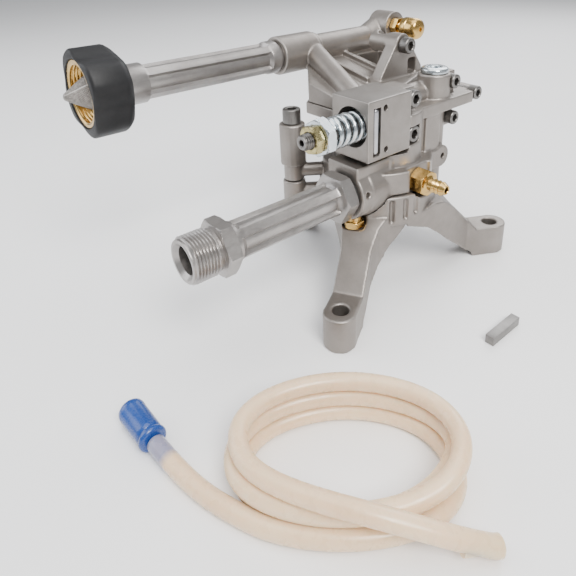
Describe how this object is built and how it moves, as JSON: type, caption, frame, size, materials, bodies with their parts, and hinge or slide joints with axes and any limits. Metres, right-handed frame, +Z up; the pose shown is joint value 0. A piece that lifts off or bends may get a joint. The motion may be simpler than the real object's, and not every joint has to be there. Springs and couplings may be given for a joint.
{
  "type": "pressure washer pump",
  "caption": "Vertical-shaft axial-cam pressure washer pump on three feet, with unloader valve, hose coupling inlet, threaded outlet, detergent hose and shaft key.",
  "frame": {"origin": "on the engine shaft axis, level with the undersides of the three feet", "axes": "+Z up along the engine shaft axis, -Y towards the ends of the inlet and outlet tubes, +X out of the flat side of the unloader block"},
  "size_m": [0.2342, 0.2482, 0.1434],
  "materials": {
    "cast_alloy": "satin, fine cast texture",
    "tube_alloy": "satin, machined",
    "zinc_plate": "bright zinc plate",
    "yellow_zinc": "yellow passivated zinc plate",
    "brass": "machined brass",
    "steel": "ground steel",
    "dark_steel": "black oxide steel",
    "black_plastic": "moulded, matt",
    "rubber": "matt",
    "strainer_mesh": "woven wire",
    "clear_hose": "translucent soft PVC",
    "blue_plastic": "moulded, gloss"
  },
  "bodies": {
    "pump_body": {"crankcase": "cast_alloy", "cylinder_head": "cast_alloy", "inlet_manifold": "cast_alloy", "unloader_block": "cast_alloy", "main_bearing_outer_race": "steel", "main_bearing_cage": "steel", "shaft_seal": "rubber", "unloader_retaining_pin": "zinc_plate", "unloader_spring_seat": "zinc_plate", "outlet_tube": "tube_alloy", "outlet_washer": "rubber", "inlet_tube": "tube_alloy", "inlet_washer": "rubber", "inlet_filter": "strainer_mesh", "relief_valve_body": "brass", "relief_valve_cap": "brass", "injector_barb": "brass", "outlet_body_plug": "brass", "deck_cap": "zinc_plate", "unloader_screw_upper": "dark_steel", "unloader_screw_lower": "dark_steel", "deck_screw_upper": "dark_steel", "deck_screw_end": "dark_steel", "deck_screw_lower": "dark_steel", "bracket_screw": "dark_steel", "piston_seal_1": "rubber", "head_screw_1": "dark_steel", "piston_seal_2": "rubber", "head_screw_2": "dark_steel", "piston_seal_3": "rubber", "head_screw_3": "dark_steel"},
    "shaft": {"drive_shaft": "steel", "main_bearing_inner_race": "steel"},
    "unloader": {"unloader_stem": "dark_steel", "unloader_lock_nut": "yellow_zinc", "unloader_spring_retainer": "zinc_plate", "unloader_spring": "zinc_plate"},
    "inlet_coupling": {"inlet_knob": "black_plastic", "inlet_thread_insert": "brass"},
    "hose": {"hose_coil": "clear_hose", "hose_strainer_end": "clear_hose", "hose_bare_end": "clear_hose", "hose_strainer": "blue_plastic"},
    "key": {"shaft_key": "steel"},
    "piston_unit_1": {"piston_1": "steel", "piston_spring_1": "steel"},
    "discharge_disc_1": {"discharge_valve_1": "steel"},
    "piston_unit_2": {"piston_2": "steel", "piston_spring_2": "steel"},
    "discharge_disc_2": {"discharge_valve_2": "steel"},
    "piston_unit_3": {"piston_3": "steel", "piston_spring_3": "steel"},
    "discharge_disc_3": {"discharge_valve_3": "steel"}
  },
  "joints": [
    {"name": "shaft_spin", "type": "hinge", "parent": "pump_body", "child": "shaft", "pos_m": [0, 0, 0.049], "axis": [0, 0, 1], "continuous": true},
    {"name": "piston_slide_1", "type": "slide", "parent": "pump_body", "child": "piston_unit_1", "axis": [0, 0, 1], "range_m": [0, 0.0036], "stiffness_N_per_m": 400, "springref_m": -0.002, "deforming": ["piston_spring_1"]},
    {"name": "piston_slide_2", "type": "slide", "parent": "pump_body", "child": "piston_unit_2", "axis": [0, 0, 1], "range_m": [0, 0.0036], "stiffness_N_per_m": 400, "springref_m": -0.002, "deforming": ["piston_spring_2"]},
    {"name": "piston_slide_3", "type": "slide", "parent": "pump_body", "child": "piston_unit_3", "axis": [0, 0, 1], "range_m": [0, 0.0036], "stiffness_N_per_m": 400, "springref_m": -0.002, "deforming": ["piston_spring_3"]},
    {"name": "discharge_valve_lift_1", "type": "slide", "parent": "pump_body", "child": "discharge_disc_1", "axis": [0, 0, 1], "range_m": [0, 0.0015]},
    {"name": "discharge_valve_lift_2", "type": "slide", "parent": "pump_body", "child": "discharge_disc_2", "axis": [0, 0, 1], "range_m": [0, 0.0015]},
    {"name": "discharge_valve_lift_3", "type": "slide", "parent": "pump_body", "child": "discharge_disc_3", "axis": [0, 0, 1], "range_m": [0, 0.0015]},
    {"name": "unloader_slide", "type": "slide", "parent": "pump_body", "child": "unloader", "axis": [0, 1, 0], "range_m": [0, 0.003], "stiffness_N_per_m": 3000, "springref_m": -0.002, "deforming": ["unloader_spring"]},
    {"name": "inlet_coupling_spin", "type": "hinge", "parent": "pump_body", "child": "inlet_coupling", "pos_m": [-0.062, -0.126, 0.1225], "axis": [0, -1, 0], "continuous": true},
    {"name": "hose_lift", "type": "slide", "parent": "pump_body", "child": "hose", "axis": [0, 0, 1], "range_m": [0, 0.05]},
    {"name": "key_lift", "type": "slide", "parent": "pump_body", "child": "key", "axis": [0, 0, 1], "range_m": [0, 0.03]}
  ]
}
